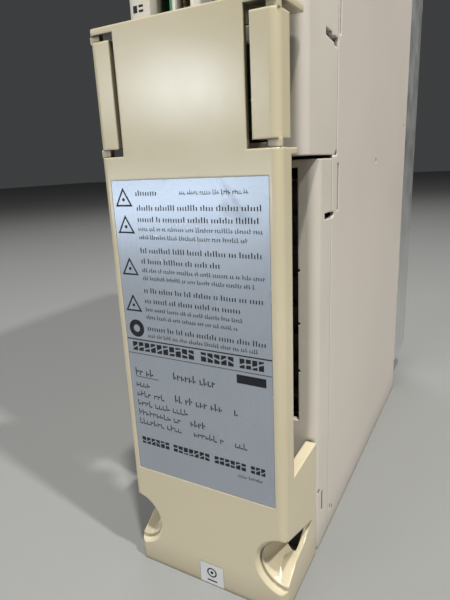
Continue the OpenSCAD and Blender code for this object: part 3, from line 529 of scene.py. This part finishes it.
class Print:
    """Thin film of ink on a face that looks along -Y, in millimetres from that face's lower left corner."""

    PROUD, SUNK = 0.03 * MM, 0.03 * MM

    def __init__(self, corner, seed=1):
        self.bm = bmesh.new()
        self.corner = corner
        self.draw = random.Random(seed)

    def spot(self, x, z, y):
        """A corner of the print: x and z in millimetres, y in metres off the face."""
        return (self.corner.x + x * MM, self.corner.y + y, self.corner.z + z * MM)

    def bar(self, x0, z0, x1, z1):
        """Upright rectangle."""
        add_block(self.bm, self.spot(x0, z0, -self.PROUD), self.spot(x1, z1, self.SUNK))

    def band(self, outer, inner):
        """Closed stripe between two outlines with the same number of points."""
        loops = [[self.spot(x, z, y) for x, z in outline]
                 for outline, y in ((outer, -self.PROUD), (inner, -self.PROUD),
                                    (inner, self.SUNK), (outer, self.SUNK))]
        add_loops(self.bm, loops)

    def filled(self, outline):
        """Solid patch within an outline."""
        loops = [[self.spot(x, z, y) for x, z in outline] for y in (-self.PROUD, self.SUNK)]
        add_loops(self.bm, loops, closed=False)

    @staticmethod
    def circle(x, z, radius, count=40):
        """Outline of a circle."""
        turns = [2 * math.pi * i / count for i in range(count)]
        return [(x + radius * math.cos(t), z + radius * math.sin(t)) for t in turns]

    def triangle(self, x, z, wide, line):
        """Upright triangle with an open middle; z is its base."""
        tall = wide * math.sqrt(3) / 2

        def outline(shrink):
            side = wide - 2 * math.sqrt(3) * shrink
            height = side * math.sqrt(3) / 2
            return [(x - side / 2, z + shrink), (x + side / 2, z + shrink), (x, z + shrink + height)]

        self.band(outline(0), outline(line))
        self.filled(self.circle(x, z + tall * 0.36, line * 0.95, 20))

    def row(self, x0, x1, z, tall, stroke, pitch, longest):
        """Line of unreadable print: short upright strokes and dots in groups, which form no letters."""
        x = x0
        while x < x1 - pitch:
            for _ in range(self.draw.randint(2, longest)):
                if x > x1 - pitch:
                    break
                lift = self.draw.choice((0.66, 0.72, 1.0))
                self.bar(x, z, x + stroke, z + tall * lift)
                low = z + tall * self.draw.choice((0.0, 0.18, 0.42))
                width = pitch - stroke * 2.6
                if width > stroke * 0.5:
                    self.bar(x + stroke * 1.6, low, x + stroke * 1.6 + width, low + tall * 0.2)
                x += pitch
            x += pitch * 0.7

    def heavy(self, x0, x1, z, tall, count):
        """Bold words as rows of solid blocks, each split by a thin slanting gap."""
        pitch = (x1 - x0) / count
        for i in range(count):
            a, b = x0 + i * pitch, x0 + (i + 0.78) * pitch
            low = z + tall * self.draw.uniform(0.2, 0.7)
            high = z + tall * self.draw.uniform(0.3, 0.8)
            gap = tall * 0.09
            self.filled([(a, z), (b, z), (b, high - gap), (a, low - gap)])
            self.filled([(a, low + gap), (b, high + gap), (b, z + tall), (a, z + tall)])


# ---------------------------------------------------------------- printed marks

def label_print():
    """Notices with plain triangles, a bold band, rating lines and a maker's line, all unreadable."""
    low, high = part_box("rating_label")
    page = Print(low, seed=7)
    wide = (high.x - low.x) / MM
    tall = (high.z - low.z) / MM
    icon_x, text_x, end_x = 4.9, 10.6, wide - 1.5

    def broad_row(drop, share):
        page.row(text_x, text_x + (end_x - text_x) * share, tall - drop, 1.95, 0.42, 1.06, 9)

    def small_row(drop, share):
        page.row(text_x, text_x + (end_x - text_x) * share, tall - drop, 1.6, 0.26, 0.86, 8)

    # four notices: (base of the triangle, first line, broad lines, small lines)
    notices = ((9.1, 5.4, (), ()), (18.8, 10.6, (1.0, 1.0), (1.0, 0.88)),
               (34.4, 25.8, (1.0, 0.68), (1.0, 0.93)), (48.6, 40.9, (1.0, 0.83), (0.83, 0.81)))
    for base, first, broad, small in notices:
        page.triangle(icon_x, tall - base, 7.7, 0.62)
        for i, share in enumerate(broad):
            broad_row(first + 4.0 * i, share)
        for i, share in enumerate(small):
            small_row(first + 4.0 * len(broad) - 0.8 + 3.0 * i, share)
    broad_row(5.4, 0.20)
    page.row(text_x + 18.6, text_x + 44.8, tall - 5.3, 1.7, 0.20, 0.86, 6)
    page.band(page.circle(5.3, tall - 55.5, 3.5), page.circle(5.3, tall - 55.5, 1.5))
    broad_row(55.8, 1.0)
    small_row(58.6, 0.94)

    # bold band between two lines
    page.bar(0.2, 58.0, wide - 0.1, 58.45)
    page.bar(0.2, 52.2, wide - 0.1, 52.42)
    for x0, x1, count in ((2.6, 31.4, 10), (33.8, 47.8, 5), (49.6, 59.4, 4)):
        page.heavy(x0, x1, 53.6, 3.6, count)

    # rating lines and a dark plate at the right
    page.filled([(48.2, 47.7), (59.6, 47.7), (59.6, 51.0), (48.2, 51.0)])
    page.row(2.6, 12.8, 43.0, 3.1, 0.42, 1.9, 6)
    page.bar(2.5, 42.2, 13.6, 42.42)
    page.row(20.8, 40.2, 43.9, 3.0, 0.46, 1.75, 9)
    page.row(2.4, 10.6, 37.9, 2.6, 0.34, 1.7, 6)
    page.row(2.4, 17.2, 33.6, 2.6, 0.34, 1.75, 5)
    page.row(20.8, 42.0, 34.4, 3.0, 0.46, 1.75, 12)
    page.row(46.6, 49.0, 34.4, 3.0, 0.46, 1.75, 3)
    page.row(2.4, 28.0, 29.5, 2.6, 0.34, 1.8, 6)
    page.row(2.4, 24.4, 25.3, 2.6, 0.34, 1.75, 9)
    page.row(27.2, 36.0, 25.5, 2.9, 0.46, 1.75, 4)
    page.row(2.4, 24.4, 21.2, 2.6, 0.34, 1.75, 9)
    page.row(28.4, 42.8, 21.2, 2.6, 0.34, 1.75, 8)
    page.row(46.4, 54.6, 21.2, 2.6, 0.34, 1.75, 4)
    for x0, x1, count in ((2.6, 16.6, 6), (18.2, 35.4, 7), (37.2, 51.0, 6), (52.6, 58.8, 3)):
        page.heavy(x0, x1, 12.2, 3.0, count)
    page.row(47.2, 57.8, 9.0, 1.4, 0.22, 0.95, 12)
    add_piece("label_print", page.bm, "cover", "label_film", PRINT_INK)


def sticker_print():
    """A dotted ring over a short bar in place of an approval mark."""
    low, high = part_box("mark_sticker")
    page = Print(low)
    middle, tall = (high.x - low.x) / MM / 2, (high.z - low.z) / MM
    ring_z, ring_r = tall * 0.58, 2.3
    page.band(page.circle(middle, ring_z, ring_r), page.circle(middle, ring_z, 1.7))
    page.filled(page.circle(middle, ring_z, 0.7))
    page.bar(middle - ring_r, tall * 0.14, middle + ring_r, tall * 0.21)
    add_piece("sticker_print", page.bm, "cover", "sticker_film", PRINT_INK)


def bezel_print():
    """Tick marks round the dial and beside the switches, and a short mark beside each socket."""
    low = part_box("upper_bezel")[0]
    page = Print(low, seed=3)
    dial_low, dial_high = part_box("axis_switch_dial")
    centre_x = ((dial_low.x + dial_high.x) / 2 - low.x) / MM
    centre_z = ((dial_low.z + dial_high.z) / 2 - low.z) / MM
    marks = 16
    for i in range(marks):
        turn = 2 * math.pi * i / marks
        reach = 8.6 if i % 4 == 0 else 7.8
        across = (0.14 * math.cos(turn), -0.14 * math.sin(turn))
        points = []
        for radius, side in ((6.6, -1), (6.6, 1), (reach, 1), (reach, -1)):
            points.append((centre_x + radius * math.sin(turn) + side * across[0],
                           centre_z + radius * math.cos(turn) + side * across[1]))
        page.filled(points)
    for socket_low, _ in plug_sockets():
        z = (socket_low.z - low.z) / MM + 6.2
        page.filled([(3.6, z), (5.4, z), (5.4, z + 2.4), (3.6, z + 2.4)])
        page.filled([(6.1, z), (8.1, z), (8.1, z + 0.8), (6.1, z + 0.8)])
        page.filled([(6.1, z + 1.6), (8.1, z + 1.6), (8.1, z + 2.4), (6.1, z + 2.4)])
    z = (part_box("dip_switch_body")[1].z - low.z) / MM + 1.2
    for i in range(4):
        slider_low, slider_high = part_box("dip_slider_%d" % (i + 1))
        x = ((slider_low.x + slider_high.x) / 2 - low.x) / MM
        page.bar(x - 0.15, z, x + 0.15, z + 1.2)
    add_piece("bezel_print", page.bm, "root", "bezel_plastic", PRINT_INK)


# ---------------------------------------------------------------- fan

def fan_blades():
    """Hub cap with a rounded rim and seven swept, twisted blades."""
    low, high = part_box("fan_rotor")
    # Known fault: seven blades make this box uneven, so its middle lies 0.22 mm off the joint's axis.
    axis_x, axis_y = (low.x + high.x) / 2, (low.y + high.y) / 2
    hub_r, tip_r, bore_r = 12.5 * MM, (high.x - low.x) / 2 * 0.985, 1.6 * MM
    z0, z1 = low.z, high.z
    middle = (z0 + z1) / 2
    bm = bmesh.new()
    round_r = 1.6 * MM
    centre_r, step, bore_end = 0.4 * MM, 0.35 * MM, 7.5 * MM
    profile = [(bore_r, z0 + 1 * MM), (hub_r - 0.8 * MM, z0), (hub_r, z0 + 0.8 * MM)]
    for i in range(6):
        turn = math.pi / 2 * i / 5
        profile.append((hub_r - round_r + round_r * math.cos(turn),
                        z1 - round_r + round_r * math.sin(turn)))
    profile += [(hub_r - 3.4 * MM, z1), (hub_r - 3.6 * MM, z1 - step), (centre_r, z1 - step),
                (centre_r, z1 - bore_end), (bore_r, z1 - bore_end)]
    sides = 64
    rings = []
    for i in range(sides):
        turn = 2 * math.pi * i / sides
        rings.append([(axis_x + r * math.cos(turn), axis_y + r * math.sin(turn), z) for r, z in profile])
    add_loops(bm, rings)

    stations, chords, count = 9, 10, 7
    half_t, root, rim_gap = 0.7 * MM, 0.5 * MM, 0.3 * MM
    for blade in range(count):
        loops = []
        for s in range(stations):
            share = s / (stations - 1)
            radius = hub_r - root + (tip_r - hub_r + root) * share
            sweep = math.radians(14) * share * share
            pitch = math.radians(52 - 22 * share)
            chord = (17.5 + 3.5 * share) * MM
            top, bottom = [], []
            for c in range(chords + 1):
                along = (c / chords - 0.5) * chord
                camber = 1.6 * MM * (1 - (2 * c / chords - 1) ** 2)
                thin = half_t * (0.35 + 0.65 * math.sin(math.pi * c / chords))
                for side, points in ((thin, top), (-thin, bottom)):
                    off = camber + side
                    across = along * math.cos(pitch) - off * math.sin(pitch)
                    up = along * math.sin(pitch) + off * math.cos(pitch)
                    turn = blade * 2 * math.pi / count + sweep + across / radius
                    height = max(z0 + rim_gap, min(z1 - rim_gap, middle + up))
                    points.append((axis_x + radius * math.cos(turn),
                                   axis_y + radius * math.sin(turn), height))
            loops.append(top + bottom[::-1])
        add_loops(bm, loops, closed=False)
    piece = add_piece("fan_blades", bm, "fan", "black_plastic")
    shade_by_angle(piece, 35)
    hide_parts("fan_rotor")


def shade_by_angle(piece, angle):
    """Smooth shading except across edges sharper than angle."""
    for polygon in piece.data.polygons:
        polygon.use_smooth = True
    piece.data.set_sharp_from_angle(angle=math.radians(angle))


# ---------------------------------------------------------------- sockets and boards

def socket_pins():
    """Two columns of square pins with tapered tips inside each plug socket."""
    bm = bmesh.new()
    tip, half, taper = 0.12 * MM, 0.32 * MM, 0.6 * MM
    square = ((-1, -1), (1, -1), (1, 1), (-1, 1))
    for low, high in plug_sockets():
        y0, y1 = low.y + 3 * MM, high.y - 2.6 * MM
        for column in (0.36, 0.66):
            x = low.x + (high.x - low.x) * column
            for i in range(10):
                z = low.z + (high.z - low.z) * (0.14 + 0.72 * i / 9)
                loops = [[(x + sx * h, y, z + sz * h) for sx, sz in square]
                         for y, h in ((y0, tip), (y0 + taper, half), (y1, half))]
                add_loops(bm, loops, closed=False)
    add_piece("socket_pins", bm, "root", "contact_metal")


def chip_legs():
    """Gull-wing legs along both long sides of every chip on the control board."""
    bm = bmesh.new()
    board_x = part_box("control_board")[1].x
    half = 0.2 * MM
    # a leg's shoulder, shank and foot: height above the board, then reach from the chip's side
    blocks = ((1.1, 1.35, -0.1, 0.8), (0.1, 1.35, 0.6, 0.85), (0.02, 0.25, 0.6, 1.6))
    for low, high in solid_boxes("control_chips"):
        deep, tall = high.y - low.y, high.z - low.z
        along_y = deep >= tall
        start, run = (low.y, deep) if along_y else (low.z, tall)
        near, far = (low.z, high.z) if along_y else (low.y, high.y)
        count = int(run / LEG_PITCH) - 1
        for i in range(count):
            s = start + (run - (count - 1) * LEG_PITCH) / 2 + i * LEG_PITCH
            for side, edge in ((-1, near), (1, far)):
                for x0, x1, out0, out1 in blocks:
                    across = sorted((edge + side * out0 * MM, edge + side * out1 * MM))
                    along = (s - half, s + half)
                    (y0, y1), (z0, z1) = (along, across) if along_y else (across, along)
                    add_block(bm, (board_x + x0 * MM, y0, z0), (board_x + x1 * MM, y1, z1))
    add_piece("chip_legs", bm, "root", "plated_steel")


def small_parts():
    """Little resistors and capacitors scattered over a grid, between the board's chips and sockets."""
    draw = random.Random(11)
    board_low, board_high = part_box("control_board")
    taken = solid_boxes("control_chips") + solid_boxes("signal_sockets")
    bodies, ends = bmesh.new(), bmesh.new()
    tries, margin = 420, 2.5 * MM
    long, wide = 1.0 * MM, 0.6 * MM
    cap, proud = 0.28 * MM, 0.03 * MM
    x = board_high.x
    for _ in range(tries):
        y = draw.uniform(board_low.y + 16 * MM, board_high.y - 6 * MM)
        z = draw.uniform(board_low.z + 14 * MM, board_high.z - 6 * MM)
        y = round(y / PART_GRID) * PART_GRID
        z = round(z / PART_GRID) * PART_GRID
        if any(low.y - margin < y < high.y + margin and low.z - margin < z < high.z + margin
               for low, high in taken):
            continue
        taken.append((Vector((0, y, z)), Vector((0, y, z))))
        upright = draw.random() < 0.5
        tall = draw.uniform(0.5, 1.1) * MM
        half_y, half_z = (wide * 0.7, long * 0.7) if upright else (long * 0.7, wide * 0.7)
        add_block(bodies, (x, y - half_y, z - half_z), (x + tall, y + half_y, z + half_z))
        end_y, end_z = (wide * 0.75, cap) if upright else (cap, wide * 0.75)
        for side in (-1, 1):
            off = side * long * 0.85
            cy, cz = (y, z + off) if upright else (y + off, z)
            add_block(ends, (x, cy - end_y, cz - end_z), (x + tall + proud, cy + end_y, cz + end_z))
    add_piece("small_parts", bodies, "root", "chip_plastic")
    add_piece("small_part_ends", ends, "root", "plated_steel")


def display_digit():
    """Seven upright segments and a point behind the red window."""
    low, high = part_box("status_display")
    page = Print(low)
    wide, tall = (high.x - low.x) / MM, (high.z - low.z) / MM
    x0, x1 = wide * 0.33, wide * 0.64
    z0, z1 = tall * 0.16, tall * 0.84
    middle = (z0 + z1) / 2
    line = 0.95
    half, point, shoulder = line / 2, line * 0.2, line * 0.6
    for z in (z0, middle, z1):
        page.filled([(x0 + shoulder, z - half), (x1 - shoulder, z - half), (x1 - point, z),
                     (x1 - shoulder, z + half), (x0 + shoulder, z + half), (x0 + point, z)])
    point, shoulder = line * 0.3, line * 0.7
    for x in (x0, x1):
        for a, b in ((z0, middle), (middle, z1)):
            page.filled([(x - half, a + shoulder), (x, a + point), (x + half, a + shoulder),
                         (x + half, b - shoulder), (x, b - point), (x - half, b - shoulder)])
    page.filled(page.circle(wide * 0.78, z0, 0.6, 20))
    add_piece("display_digit", page.bm, "root", "window_red", LIT_SEGMENT)


# ---------------------------------------------------------------- the scene

make_camera()
make_studio()
dress_nodes()

# widest rounding of the edges in millimetres, and the nodes that have it
EDGES = {
    0.5: ("terminal_cover", "latch_tab_right", "latch_tab_left", "side_panel_right", "side_panel_left"),
    0.4: ("upper_bezel", "lower_frame"),
    0.3: ("mounting_plate", "fan_frame", "terminal_block"),
    0.2: ("heat_sink", "top_plate", "bottom_plate", "axis_switch_dial", "reset_button", "display_window",
          "signal_sockets", "dip_switch_body", "charge_lamp"),
    0.12: ("case_screws", "fan_screws", "heat_sink_screws", "terminal_screws", "earth_screws",
           "control_chips", "dip_slider_1", "dip_slider_2", "dip_slider_3", "dip_slider_4", "fan_guard",
           "earth_plate"),
}
for width, names in EDGES.items():
    for name in names:
        soften(name, width * MM)

label_print()
sticker_print()
bezel_print()
fan_blades()
socket_pins()
chip_legs()
small_parts()
display_digit()
